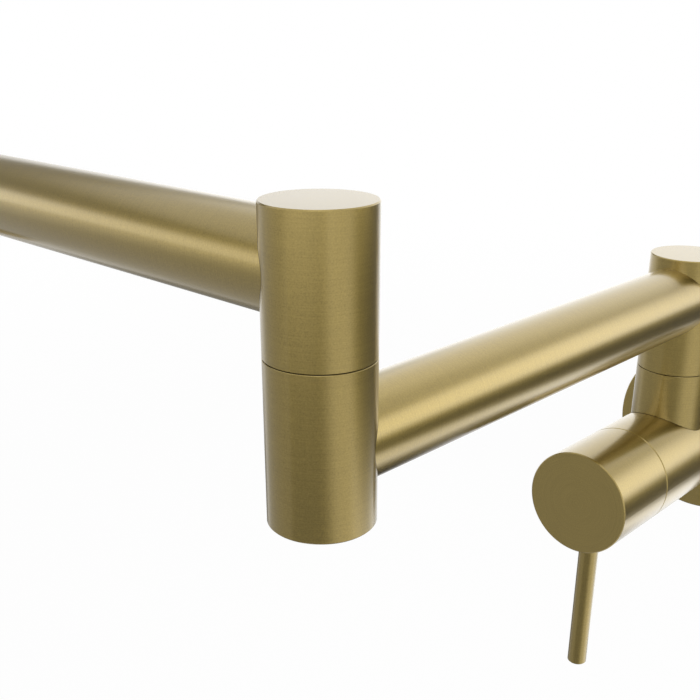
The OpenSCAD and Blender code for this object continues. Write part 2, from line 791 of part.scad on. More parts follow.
// Ring of the aerator: two spanner flats, a threaded neck and a retaining lip
module aerator_housing() {
    color(brushed_brass) at_mouth() difference() {
        union() {
            difference() {
                turned(spout_r, aerator_h - fine_break, edge_break, seam_break);
                for (turn = [0, 180]) rotate(turn) translate([-spout_r, spout_r - flat_depth, -overrun])
                    cube([spout_d, flat_depth + overrun, aerator_h / 2 + overrun]);
            }
            cylinder(r = aerator_neck_r, h = aerator_h + aerator_neck_h);
        }
        translate([0, 0, aerator_lip_h])
            cylinder(r = aerator_bore_r, h = aerator_h + aerator_neck_h);
        translate([0, 0, -overrun]) cylinder(r = aerator_bore_r - aerator_lip, h = aerator_h);
    }
}
module at_mouth() {
    translate([-outer_arm_len, elbow_y, mouth_z]) children();
}

// Centres of the round cells of a flow straightener, on a triangular grid inside a circle
function cells(limit) = [
    let (rows = ceil(limit / cell_pitch / sin(60)))
    for (i = [-2 * rows : 2 * rows], j = [-rows : rows])
        let (x = (i + j / 2) * cell_pitch, y = j * cell_pitch * sin(60))
        if (norm([x, y]) + cell_r < limit) [x, y]
];

// Flow straightener: a cup whose floor is a plate of round cells
module aerator_insert() {
    r = aerator_bore_r - seat_fit;
    color(polymer) at_mouth() translate([0, 0, aerator_lip_h]) difference() {
        cylinder(r = r, h = insert_h);
        translate([0, 0, insert_plate_t]) cylinder(r = r - insert_wall, h = insert_h);
        for (c = cells(r - insert_wall - fine_break)) translate([c[0], c[1], -overrun])
            cylinder(r = cell_r, h = insert_plate_t + 2 * overrun, $fn = 24);
    }
}

// Perforated strainer on top of the insert
module aerator_screen() {
    r = aerator_bore_r - seat_fit;
    color(steel) at_mouth() translate([0, 0, aerator_lip_h + insert_h]) difference() {
        cylinder(r = r, h = screen_t);
        for (c = cells(r - insert_wall)) translate([c[0], c[1], -overrun])
            cylinder(r = cell_r / 2, h = screen_t + 2 * overrun, $fn = 24);
    }
}

// Rubber washer between the aerator's neck and the spout
module aerator_washer() {
    color(rubber) at_mouth() translate([0, 0, aerator_h + aerator_neck_h])
        ring(aerator_neck_r - seat_fit, aerator_bore_r, aerator_washer_t);
}

wall_plate();
wall_screws();
inlet_nipple();
inlet_seal();
body_lock_screws();
wall_flange();
flange_o_ring();
valve_body();
swivel_neck();
column_spindle();
column_o_rings();
column_washer();
color(raw_brass) on_wall_valve() cartridge_body();  // wall_cartridge_body
color(rubber) on_wall_valve() cartridge_seal();  // wall_cartridge_seal
color(ceramic) on_wall_valve() ceramic_disc(cartridge_foot, 0);  // wall_fixed_disc
color(rubber) on_wall_valve() cartridge_o_ring();  // wall_cartridge_o_ring
color(raw_brass) on_wall_valve() cartridge_nut(wall_chamber_r);  // wall_cartridge_nut
color(ceramic) on_wall_valve() ceramic_disc(moving_disc_z, 90);  // wall_moving_disc
color(raw_brass) on_wall_valve() cartridge_stem(wall_drive_end);  // wall_cartridge_stem
color(brushed_brass) on_wall_valve()  // wall_handle_cap
        handle_cap(barrel_r, wall_seam_reach, wall_face, wall_lever_back);
color(brushed_brass) on_wall_valve() lever_pin(barrel_r, wall_face, wall_lever_back, wall_lever_len);  // wall_handle_lever
color(steel) on_wall_valve() cap_screw(wall_seam_reach, wall_face, wall_lever_back);  // wall_handle_screw
column_shell();
column_retaining_screws();
inner_arm_tube();
elbow_lower_shell();
elbow_spindle();
elbow_o_rings();
elbow_washer();
elbow_upper_shell();
elbow_retaining_screws();
outer_arm_tube();
outlet_valve_body();
color(raw_brass) on_outlet_valve() cartridge_body();  // outlet_cartridge_body
color(rubber) on_outlet_valve() cartridge_seal();  // outlet_cartridge_seal
color(ceramic) on_outlet_valve() ceramic_disc(cartridge_foot, 0);  // outlet_fixed_disc
color(rubber) on_outlet_valve() cartridge_o_ring();  // outlet_cartridge_o_ring
color(raw_brass) on_outlet_valve() cartridge_nut(outlet_chamber_r);  // outlet_cartridge_nut
spout_tube();
aerator_housing();
aerator_insert();
aerator_screen();
aerator_washer();
color(ceramic) on_outlet_valve() ceramic_disc(moving_disc_z, 90);  // outlet_moving_disc
color(raw_brass) on_outlet_valve() cartridge_stem(outlet_drive_end);  // outlet_cartridge_stem
color(brushed_brass) on_outlet_valve()  // outlet_handle_cap
        handle_cap(outlet_r, outlet_seam_reach, outlet_face, outlet_lever_back);
color(brushed_brass) on_outlet_valve()  // outlet_handle_lever
        lever_pin(outlet_r, outlet_face, outlet_lever_back, outlet_lever_len);
color(steel) on_outlet_valve() cap_screw(outlet_seam_reach, outlet_face, outlet_lever_back);  // outlet_handle_screw
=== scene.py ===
"""Finishes, fine pieces, studio and camera for a wall-mounted folding pot filler in brushed brass.

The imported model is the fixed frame: every solid stays where it is and gets its finish here. What
is too fine for the solids is worked out here as surfaces of two parameters: the threads of the
inlet nipple and of the wall screws, and the cross recesses in the screws' heads.
"""
import json
import logging
import math
from collections.abc import Iterable, Sequence
from dataclasses import dataclass, field
from enum import Enum

import bpy
import numpy as np
from mathutils import Euler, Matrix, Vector


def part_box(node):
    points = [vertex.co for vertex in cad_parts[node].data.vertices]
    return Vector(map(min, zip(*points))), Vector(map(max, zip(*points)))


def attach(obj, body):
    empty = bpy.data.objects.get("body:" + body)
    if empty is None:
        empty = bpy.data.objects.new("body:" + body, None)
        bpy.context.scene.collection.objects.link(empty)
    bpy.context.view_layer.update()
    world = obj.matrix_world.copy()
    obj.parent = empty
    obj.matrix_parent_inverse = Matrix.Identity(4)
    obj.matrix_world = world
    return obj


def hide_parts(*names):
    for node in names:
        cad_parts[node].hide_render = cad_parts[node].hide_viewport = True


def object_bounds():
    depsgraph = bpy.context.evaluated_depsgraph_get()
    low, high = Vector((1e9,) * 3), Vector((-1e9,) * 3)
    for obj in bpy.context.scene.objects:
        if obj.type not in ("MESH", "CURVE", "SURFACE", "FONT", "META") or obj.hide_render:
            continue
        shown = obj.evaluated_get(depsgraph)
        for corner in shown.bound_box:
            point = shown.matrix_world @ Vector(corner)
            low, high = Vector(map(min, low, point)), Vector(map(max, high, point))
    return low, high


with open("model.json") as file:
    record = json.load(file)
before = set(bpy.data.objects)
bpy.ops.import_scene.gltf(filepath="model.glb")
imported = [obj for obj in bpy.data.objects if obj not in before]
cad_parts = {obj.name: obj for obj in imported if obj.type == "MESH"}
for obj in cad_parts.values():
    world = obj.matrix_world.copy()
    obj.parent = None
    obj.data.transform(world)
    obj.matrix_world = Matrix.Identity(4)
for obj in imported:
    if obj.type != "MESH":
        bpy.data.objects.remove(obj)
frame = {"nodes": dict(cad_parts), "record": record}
CAD_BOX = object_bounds()

LOG = logging.getLogger("pot_filler")
MM = 0.001


def linear(hex_colour: str) -> tuple[float, float, float, float]:
    """Turns an sRGB hex colour into linear RGBA, by the two-part curve of the sRGB standard.

    Args:
        hex_colour: A colour such as "#8A7948".

    Returns:
        Its linear red, green and blue with an alpha of one.
    """
    parts = [int(hex_colour[i:i + 2], 16) / 255 for i in (1, 3, 5)]
    red, green, blue = (c / 12.92 if c <= 0.04045 else ((c + 0.055) / 1.055) ** 2.4 for c in parts)
    return red, green, blue, 1.0


WHITE = linear("#FFFFFF")


def node_box(name: str) -> np.ndarray:
    """Gives the lowest and the highest corner of a CAD node as two rows, in metres."""
    return np.array([list(corner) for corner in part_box(name)])


def mount_sizes(name: str) -> dict[str, float]:
    """Gives the sizes of one of the record's mounts, in millimetres."""
    return next(mount["dims"] for mount in frame["record"]["mounts"] if mount["name"] == name)


class Graph:
    """A material's or world's node tree, with one function that adds nodes to it."""

    def __init__(self, tree: bpy.types.NodeTree) -> None:
        """Empties the tree.

        Args:
            tree: The node tree to build in.
        """
        self.tree = tree
        self.tree.nodes.clear()

    def add(self, kind: str, settings: dict[str, object] | None = None,
            **inputs: object) -> bpy.types.Node:
        """Adds one node with its settings, values and links.

        Args:
            kind: The node's type, such as "ShaderNodeMath".
            settings: Properties of the node itself, such as operation.
            **inputs: Socket values or source sockets, by the socket's name in lower case with
                underscores, or by "in" and its number where names repeat.

        Returns:
            The new node.
        """
        node = self.tree.nodes.new(kind)
        for key, value in (settings or {}).items():
            setattr(node, key, value)
        for key, value in inputs.items():
            socket = self.socket(node, key)
            if isinstance(value, bpy.types.NodeSocket):
                self.tree.links.new(value, socket)
            else:
                socket.default_value = value
        return node

    @staticmethod
    def socket(node: bpy.types.Node, key: str) -> bpy.types.NodeSocket:
        """Finds an input socket.

        Args:
            node: The node that has it.
            key: Its name in lower case with underscores, or "in" and its number.

        Returns:
            The socket.
        """
        number = key.removeprefix("in")
        if number.isdigit():
            return node.inputs[int(number)]
        wanted = key.replace("_", " ")
        return next(s for s in node.inputs if s.enabled and s.name.lower() == wanted)


class Turning(Enum):
    """The axis round which a piece was turned and brushed, as the turn that +Z makes to reach it."""

    UPRIGHT = (0.0, 0.0, 0.0)
    INTO_WALL = (-math.pi / 2, 0.0, 0.0)
    ALONG_WALL = (0.0, math.pi / 2, 0.0)

    def place(self, points: np.ndarray, origin: Sequence[float] = (0.0, 0.0, 0.0)) -> np.ndarray:
        """Turns points drawn round +Z to this axis and moves them to its origin.

        Args:
            points: Rows by columns by three, in metres.
            origin: Where the drawing's own origin goes, in metres.

        Returns:
            The placed points.
        """
        return points @ np.array(Euler(self.value).to_matrix()).T + np.array(origin)


@dataclass(frozen=True)
class Finish:
    """A plain finish, in which one even grain varies the tone, the roughness and the height.

    It reads Object coordinates, which are the tap's own frame in metres on every piece.
    """

    name: str
    colour: str
    slot: str
    metallic: float = 0.0
    roughness: float = 0.5
    roughness_spread: float = 0.05
    tone_spread: float = 0.04
    grain_mm: float = 0.5
    grain_depth_mm: float = 0.002
    grain_octaves: float = 3.0
    grain_harshness: float = 0.6

    def material(self, piece: str, node: str, turning: Turning) -> bpy.types.Material:
        """Makes the finish for one piece.

        Args:
            piece: The piece's name.
            node: The CAD node whose middle the piece's axis runs through.
            turning: The direction of that axis.

        Returns:
            The material.
        """
        low, high = node_box(node)
        made = bpy.data.materials.new(f"{self.name}_{piece}")
        made.use_nodes = True
        graph = Graph(made.node_tree)
        place = graph.add("ShaderNodeTexCoord").outputs["Object"]
        self.surface(graph, self.grain(graph, place, turning, (low + high) / 2))
        return made

    def grain(self, graph: Graph, place: bpy.types.NodeSocket, turning: Turning,
              centre: np.ndarray) -> bpy.types.NodeSocket:
        """Adds the even grain, which is the same whichever way the piece was turned.

        Args:
            graph: The material's nodes.
            place: The point's place in Object coordinates.
            turning: The direction of the piece's axis.
            centre: A point on that axis, in metres.

        Returns:
            The grain's value from 0 to 1.
        """
        noise = graph.add("ShaderNodeTexNoise", vector=place, scale=1 / (self.grain_mm * MM),
                          detail=self.grain_octaves, roughness=self.grain_harshness)
        return noise.outputs["Fac"]

    def surface(self, graph: Graph, grain: bpy.types.NodeSocket, **extra: object) -> None:
        """Adds the shader and the output.

        Args:
            graph: The material's nodes.
            grain: The grain's value from 0 to 1.
            **extra: More values for the shader's own sockets.
        """
        red, green, blue, _ = linear(self.colour)
        dark, light = 1 - self.tone_spread, 1 + self.tone_spread
        tone = graph.add("ShaderNodeMix", {"data_type": "RGBA"}, factor=grain,
                         a=(red * dark, green * dark, blue * dark, 1.0),
                         b=(red * light, green * light, blue * light, 1.0))
        rough = graph.add("ShaderNodeMapRange", value=grain,
                          to_min=self.roughness - self.roughness_spread,
                          to_max=self.roughness + self.roughness_spread)
        bump = graph.add("ShaderNodeBump", height=grain, distance=self.grain_depth_mm * MM,
                         strength=1.0)
        shader = graph.add("ShaderNodeBsdfPrincipled", base_color=tone.outputs["Result"],
                           roughness=rough.outputs["Result"], metallic=self.metallic,
                           normal=bump.outputs["Normal"], **extra)
        graph.add("ShaderNodeOutputMaterial", surface=shader.outputs["BSDF"])


@dataclass(frozen=True)
class BrushedMetal(Finish):
    """Metal turned and brushed round its own axis, under a thin clear lacquer.

    The brush leaves a fine speckle of short strokes and faint rings round the piece, which blur a
    reflection. The lacquer adds a colourless gloss, which pales the metal at a grazing angle.
    """

    metallic: float = 1.0
    roughness: float = 0.34
    roughness_spread: float = 0.08
    tone_spread: float = 0.4
    # Real strokes are about 0.1 mm wide; they are drawn a few times as wide, to show
    grain_mm: float = 0.5
    grain_octaves: float = 1.0
    grain_harshness: float = 0.5
    ring_mm: float = 0.3
    ring_run_mm: float = 9.0
    ring_octaves: float = 2.0
    ring_harshness: float = 0.55
    ring_share: float = 0.4
    lacquer: float = 1.0
    lacquer_roughness: float = 0.18

    def grain(self, graph: Graph, place: bpy.types.NodeSocket, turning: Turning,
              centre: np.ndarray) -> bpy.types.NodeSocket:
        """Adds the rings, with the even grain laid over them.

        The rings follow the place along the axis on the wall of the piece and the distance from
        the axis on its ends, and fade in and out slowly round the piece.

        Args:
            graph: The material's nodes.
            place: The point's place in Object coordinates.
            turning: The direction of the piece's axis.
            centre: A point on that axis, in metres.

        Returns:
            The grain's value from 0 to 1.
        """
        turned = graph.add("ShaderNodeMapping", {"vector_type": "TEXTURE"}, vector=place,
                           location=tuple(centre), rotation=turning.value)
        split = graph.add("ShaderNodeSeparateXYZ", vector=turned.outputs["Vector"])
        flat = graph.add("ShaderNodeCombineXYZ", x=split.outputs["X"], y=split.outputs["Y"])
        radius = graph.add("ShaderNodeVectorMath", {"operation": "LENGTH"},
                           in0=flat.outputs["Vector"])
        metres = graph.add("ShaderNodeCombineXYZ", x=split.outputs["Z"],
                           y=radius.outputs["Value"], z=split.outputs["X"])
        across = 1 / (self.ring_mm * MM)
        along = 1 / (self.ring_run_mm * MM)
        rings = graph.add("ShaderNodeVectorMath", {"operation": "MULTIPLY"},
                          in0=metres.outputs["Vector"], in1=(across, across, along))
        lines = graph.add("ShaderNodeTexNoise", vector=rings.outputs["Vector"], scale=1.0,
                          detail=self.ring_octaves, roughness=self.ring_harshness)
        even = super().grain(graph, place, turning, centre)
        both = graph.add("ShaderNodeMix", factor=self.ring_share, a=even, b=lines.outputs["Fac"])
        return both.outputs["Result"]

    def surface(self, graph: Graph, grain: bpy.types.NodeSocket, **extra: object) -> None:
        """Adds the shader with its coat of lacquer.

        Args:
            graph: The material's nodes.
            grain: The grain's value from 0 to 1.
            **extra: More values for the shader's own sockets.
        """
        super().surface(graph, grain, coat_weight=self.lacquer,
                        coat_roughness=self.lacquer_roughness, **extra)


# Brushed brass under clear lacquer: an olive gold, satin, pale along its outlines
BRUSHED_BRASS = BrushedMetal("brushed_brass", "#998546", "brushed_brass", grain_depth_mm=0.0006)
# Machined brass, unlacquered: brighter and yellower, with fine lathe rings
MACHINED_BRASS = BrushedMetal("machined_brass", "#CCB068", "raw_brass", roughness=0.3, lacquer=0.0,
                              ring_mm=0.25, ring_share=0.7, grain_depth_mm=0.003, tone_spread=0.15)
# Stainless steel, drawn and passivated: neutral grey with a soft gloss
STAINLESS = Finish("stainless_steel", "#A6A8AA", "stainless_steel", metallic=1.0, roughness=0.32,
                   grain_mm=0.4)
# Nitrile rubber, moulded: near black and matt, with a fine haze
NITRILE = Finish("nitrile_rubber", "#222222", "rubber", roughness=0.62, grain_mm=0.3)
# Alumina ceramic, lapped: off-white with a low even gloss
ALUMINA = Finish("alumina_ceramic", "#E8E5DC", "ceramic", roughness=0.22, grain_mm=0.6,
                 tone_spread=0.02)
# Acetal, moulded: milky white with a waxy sheen
ACETAL = Finish("acetal", "#DADAD3", "polymer", roughness=0.42, grain_mm=0.5, tone_spread=0.02)


def grid_piece(name: str, points: np.ndarray, ring: bool, sharp_deg: float = 35.0) -> bpy.types.Object:
    """Makes a closed piece from a grid of points whose columns run round an axis.

    Args:
        name: The piece's name.
        points: Rows by columns by three, in metres. Seen from outside, rows run on to the left of
            the direction in which columns run.
        ring: True if the last row joins the first, and False if both end in a flat cap.
        sharp_deg: Edges that turn by more than this stay sharp.

    Returns:
        The new object.
    """
    rows, columns, _ = points.shape
    ids = np.arange(rows * columns).reshape(rows, columns)
    beside = np.roll(ids, -1, axis=1)
    quads = np.stack([ids, beside, np.roll(beside, -1, axis=0), np.roll(ids, -1, axis=0)], axis=-1)
    faces = (quads if ring else quads[:-1]).reshape(-1, 4).tolist()
    if not ring:
        faces += [ids[0, ::-1].tolist(), ids[-1].tolist()]
    mesh = bpy.data.meshes.new(name)
    mesh.from_pydata(points.reshape(-1, 3).tolist(), [], faces)
    mesh.shade_smooth()
    mesh.set_sharp_from_angle(angle=math.radians(sharp_deg))
    made = bpy.data.objects.new(name, mesh)
    bpy.context.scene.collection.objects.link(made)
    return made


@dataclass(frozen=True)
class Thread:
    """A screw thread with rounded crests and roots, in millimetres.

    It is drawn as rows up the rod and columns round it. At either end it fades out.
    """

    pitch: float
    depth: float
    columns: int
    rows_per_turn: int = 14
    squareness: float = 1.6
    fade_turns: float = 0.5

    def angles(self) -> np.ndarray:
        """Gives each column's angle round the rod, in radians."""
        return 2 * np.pi * np.arange(self.columns) / self.columns

    def heights(self, length: float) -> np.ndarray:
        """Spaces rows along a thread so that each turn has the same number of them."""
        return np.linspace(0.0, length, int(self.rows_per_turn * length / self.pitch) + 1)

    def cut(self, height: np.ndarray) -> np.ndarray:
        """Works out how deep the thread cuts below the rod's own radius.

        The cut is half a cosine wave that climbs by one pitch in each turn, squared off a little
        so that flanks are straighter, times a share that rises from 0 at either end to 1 within
        the given number of turns.

        Args:
            height: Heights of the thread's rows, from 0 to its length.

        Returns:
            Rows by columns of depths, in millimetres.
        """
        phase = 2 * np.pi * height[:, None] / self.pitch - self.angles()[None, :]
        wave = 0.5 + 0.5 * np.tanh(self.squareness * np.cos(phase)) / np.tanh(self.squareness)
        from_end = np.minimum(height, height[-1] - height)
        fade = np.clip(from_end / (self.fade_turns * self.pitch), 0.0, 1.0)
        return self.depth * wave * fade[:, None]

    def uncut(self, rows: int) -> np.ndarray:
        """Gives the depths of plain rows: zero in every column."""
        return np.zeros((rows, self.columns))

    def turned(self, outline: np.ndarray, cut: np.ndarray) -> np.ndarray:
        """Carries an outline round +Z, less the cut.

        Args:
            outline: The radius and height of each row, in millimetres.
            cut: Rows by columns of depths, in millimetres.

        Returns:
            Rows by columns by three, in metres.
        """
        angle = self.angles()
        reach = outline[:, :1] - cut
        level = np.broadcast_to(outline[:, 1:], reach.shape)
        return MM * np.stack([reach * np.cos(angle), reach * np.sin(angle), level], axis=-1)


def dress(finish: Finish, names: Iterable[str], turning: Turning = Turning.UPRIGHT) -> None:
    """Gives CAD nodes a finish.

    Args:
        finish: The finish.
        names: The nodes' names.
        turning: The axis round which brushed pieces were turned.
    """
    for name in names:
        node = frame["nodes"][name]
        node.data.materials.clear()
        node.data.materials.append(finish.material(name, name, turning))
        node.data.shade_smooth()
        LOG.info("dressed %s in %s", name, finish.name)


def replace_node(piece: bpy.types.Object, node: str, body: str, finish: Finish,
                 turning: Turning = Turning.UPRIGHT) -> None:
    """Puts a new piece in a CAD node's place, with its finish and its body.

    Args:
        piece: The new piece.
        node: The node that it stands for.
        body: The body that it rides on.
        finish: The finish.
        turning: The axis round which a brushed piece was turned.
    """
    piece.data.materials.append(finish.material(piece.name, node, turning))
    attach(piece, body)
    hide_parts(node)
    LOG.info("%s stands for %s", piece.name, node)


@dataclass
class InletNipple:
    """The double nipple: a pipe thread into the wall, a collar and a thread into the valve."""

    thread: Thread = Thread(pitch=1.814, depth=1.1, columns=96, fade_turns=0.6)
    chamfer_mm: float = 0.8
    edge_mm: float = 0.3
    bore_radius_mm: float = 7.0

    def build(self) -> None:
        """Makes the nipple as one closed outline carried round its axis, with both threads cut.

        The outline runs up the outside from the valve's end, over the collar, to the wall's end,
        and back down the bore.
        """
        low, high = node_box("inlet_nipple") / MM
        collar_end = node_box("inlet_seal")[1][1] / MM
        valve_end, wall_end, collar = low[1], high[1], high[0]
        rod = mount_sizes("inlet_thread")["r_mm"]
        bore, edge, chamfer = self.bore_radius_mm, self.edge_mm, self.chamfer_mm
        front = self.thread.heights(collar_end - valve_end)
        rear = self.thread.heights(wall_end)
        collar_rows = [(collar - edge, collar_end), (collar, collar_end + edge),
                       (collar, -edge), (collar - edge, 0.0)]
        bore_rows = [(bore + edge, wall_end), (bore, wall_end - edge),
                     (bore, valve_end + edge), (bore + edge, valve_end)]
        outline = np.concatenate([
            np.column_stack([rod - np.clip(chamfer - front, 0, chamfer), valve_end + front]),
            collar_rows,
            np.column_stack([rod - np.clip(chamfer - (wall_end - rear), 0, chamfer), rear]),
            bore_rows])
        cut = np.concatenate([
            self.thread.cut(front), self.thread.uncut(len(collar_rows)),
            self.thread.cut(rear), self.thread.uncut(len(bore_rows))])
        points = Turning.INTO_WALL.place(self.thread.turned(outline, cut))
        piece = grid_piece("threaded_inlet_nipple", points, ring=True)
        replace_node(piece, "inlet_nipple", "wall_valve", MACHINED_BRASS, Turning.INTO_WALL)


@dataclass
class WallScrews:
    """Countersunk wood screws with a cross recess, one for each stud of the CAD node.

    The neck, the head and the tip are shares of the stud's radius, and an arm's reach is a share
    of the radius of the head's face.
    """

    thread: Thread = Thread(pitch=1.8, depth=0.55, columns=48, rows_per_turn=12)
    neck_share: float = 0.86
    head_share: float = 1.9
    tip_mm: float = 4.0
    tip_share: float = 0.06
    rim_mm: float = 0.1
    middle_mm: float = 0.05
    face_rows: int = 16
    recess_mm: float = 1.3
    arm_half_mm: float = 0.5
    arm_edge_mm: float = 0.08
    arm_reach_share: float = 0.75
    arm_curve: float = 0.6

    def build(self) -> None:
        """Makes a screw at each stud, the lowest first."""
        sizes = mount_sizes("wall_screws")
        circle, count = MM * sizes["pcd_mm"] / 2, int(sizes["count"])
        screw = self.screw(sizes["stud_r_mm"])
        for number in range(count):
            turn = 2 * math.pi * number / count
            origin = (-circle * math.sin(turn), 0.0, -circle * math.cos(turn))
            points = Turning.INTO_WALL.place(screw, origin)
            piece = grid_piece(f"wall_screw_{number + 1}", points, ring=False)
            replace_node(piece, "wall_screws", "wall_valve", STAINLESS)

    def screw(self, stud: float) -> np.ndarray:
        """Works out one screw as an outline carried round its axis.

        The outline starts in the middle of the head, where the cross is pressed in, runs over the
        countersunk rim and down the neck, and ends at the tip.

        Args:
            stud: The radius over the thread, in millimetres.

        Returns:
            Rows by columns by three, in metres, round +Z.
        """
        low, high = node_box("wall_screws") / MM
        front, reach = low[1], high[1]
        head = stud * self.head_share
        neck = stud * self.neck_share
        shank = self.thread.heights(reach)
        taper = np.clip((reach - shank) / self.tip_mm, self.tip_share, 1.0)
        face = np.linspace(self.middle_mm, head - self.rim_mm, self.face_rows)
        outline = np.concatenate([
            np.column_stack([face, np.full(len(face), front)]),
            [(head, front + self.rim_mm), (neck, front + head - neck), (neck, 0.0)],
            np.column_stack([stud * taper, shank])])
        cut = self.thread.uncut(len(outline))
        cut[-len(shank):] = self.thread.cut(shank) * taper[:, None]
        points = self.thread.turned(outline, cut)
        points[:len(face), :, 2] += MM * self.cross(face)
        return points

    def cross(self, radius: np.ndarray) -> np.ndarray:
        """Works out the depth of the cross recess over the head's face.

        An arm of the cross is where the distance to the nearer of two lines through the middle is
        under half its width, with a soft edge. The recess is deepest in the middle and runs out
        towards the rim on a curve.

        Args:
            radius: The rows' radii, in millimetres.

        Returns:
            Rows by columns of depths, in millimetres.
        """
        angle = self.thread.angles()
        across = radius[:, None] * np.minimum(abs(np.sin(angle)), abs(np.cos(angle)))[None, :]
        arm = 1 / (1 + np.exp((across - self.arm_half_mm) / self.arm_edge_mm))
        along = np.clip(1 - radius / (self.arm_reach_share * radius[-1]), 0, 1)
        return self.recess_mm * arm * along[:, None] ** self.arm_curve


@dataclass
class WallMount:
    """What holds the tap on the wall: plate, screws, inlet nipple, seals and the round flange."""

    nipple: InletNipple = field(default_factory=InletNipple)
    screws: WallScrews = field(default_factory=WallScrews)

    def build(self) -> None:
        """Makes the threaded pieces and dresses the others."""
        self.nipple.build()
        self.screws.build()
        dress(STAINLESS, ["wall_plate", "body_lock_screws"])
        dress(NITRILE, ["inlet_seal", "flange_o_ring"])
        dress(BRUSHED_BRASS, ["wall_flange"], Turning.INTO_WALL)


@dataclass
class Valve:
    """A quarter-turn valve with its ceramic cartridge, handle cap and lever pin.

    The names of its nodes start with "wall" or "outlet".
    """

    prefix: str
    body: str
    turning: Turning

    def named(self, *parts: str) -> list[str]:
        """Puts the valve's prefix before the parts' names."""
        return [f"{self.prefix}_{part}" for part in parts]

    def build(self) -> None:
        """Dresses the valve's pieces."""
        dress(BRUSHED_BRASS, [self.body, *self.named("handle_cap")], self.turning)
        dress(BRUSHED_BRASS, self.named("handle_lever"), Turning.UPRIGHT)
        dress(STAINLESS, self.named("handle_screw"))
        dress(MACHINED_BRASS, self.named("cartridge_body", "cartridge_nut", "cartridge_stem"),
              self.turning)
        dress(ALUMINA, self.named("fixed_disc", "moving_disc"))
        dress(NITRILE, self.named("cartridge_seal", "cartridge_o_ring"))


@dataclass
class Knuckle:
    """A swivel: spindle, seals and thrust washer between a lower and an upper turned piece.

    The names of its inner nodes start with "column" or "elbow".
    """

    prefix: str
    lower: str
    upper: str

    def build(self) -> None:
        """Dresses the swivel's pieces."""
        dress(BRUSHED_BRASS, [self.lower, self.upper], Turning.UPRIGHT)
        dress(MACHINED_BRASS, [f"{self.prefix}_spindle"], Turning.UPRIGHT)
        dress(NITRILE, [f"{self.prefix}_o_rings"])
        dress(ACETAL, [f"{self.prefix}_washer"])
        dress(STAINLESS, [f"{self.prefix}_retaining_screws"])


@dataclass
class Arms:
    """The two arm tubes."""

    def build(self) -> None:
        """Dresses both tubes, each brushed round its own axis."""
        dress(BRUSHED_BRASS, ["inner_arm_tube"], Turning.INTO_WALL)
        dress(BRUSHED_BRASS, ["outer_arm_tube"], Turning.ALONG_WALL)


@dataclass
class Spout:
    """The spout tube and its aerator."""

    def build(self) -> None:
        """Dresses the spout and the aerator's pieces."""
        dress(BRUSHED_BRASS, ["spout_tube", "aerator_housing"], Turning.UPRIGHT)
        dress(ACETAL, ["aerator_insert"])
        dress(STAINLESS, ["aerator_screen"])
        dress(NITRILE, ["aerator_washer"])


def compass(azimuth: float, elevation: float) -> Vector:
    """Turns a bearing in degrees, 0 towards the wall and 90 to the right, into a direction."""
    a, e = math.radians(azimuth), math.radians(elevation)
    return Vector((math.sin(a) * math.cos(e), math.cos(a) * math.cos(e), math.sin(e)))


def rectangle(name: str, width: float, height: float, level: float = 0.0) -> bpy.types.Mesh:
    """Makes a flat rectangle that faces up, with its middle on the Z axis.

    Args:
        name: The mesh's name.
        width: Its size along X, in metres.
        height: Its size along Y, in metres.
        level: Its place along Z, in metres.

    Returns:
        The new mesh.
    """
    x, y = width / 2, height / 2
    mesh = bpy.data.meshes.new(name)
    mesh.from_pydata([(-x, -y, level), (x, -y, level), (x, y, level), (-x, y, level)], [],
                     [(0, 1, 2, 3)])
    return mesh


def glow(name: str, level: float) -> bpy.types.Material:
    """Makes an even grey that needs no light.

    Args:
        name: The material's name.
        level: Its brightness, where 1 is white.

    Returns:
        The material.
    """
    made = bpy.data.materials.new(name)
    made.use_nodes = True
    graph = Graph(made.node_tree)
    even = graph.add("ShaderNodeEmission", color=(level, level, level, 1.0), strength=1.0)
    graph.add("ShaderNodeOutputMaterial", surface=even.outputs["Emission"])
    return made


def seen_directly(graph: Graph) -> bpy.types.NodeSocket:
    """Tells rays that show the background: from the camera, a reflection or a refraction.

    Args:
        graph: The nodes to add to.

    Returns:
        1 for such a ray, and 0 for one that only lights the object.
    """
    path = graph.add("ShaderNodeLightPath")
    first = graph.add("ShaderNodeMath", {"operation": "MAXIMUM"},
                      in0=path.outputs["Is Camera Ray"], in1=path.outputs["Is Glossy Ray"])
    both = graph.add("ShaderNodeMath", {"operation": "MAXIMUM"},
                     in0=first.outputs["Value"], in1=path.outputs["Is Transmission Ray"])
    return both.outputs["Value"]


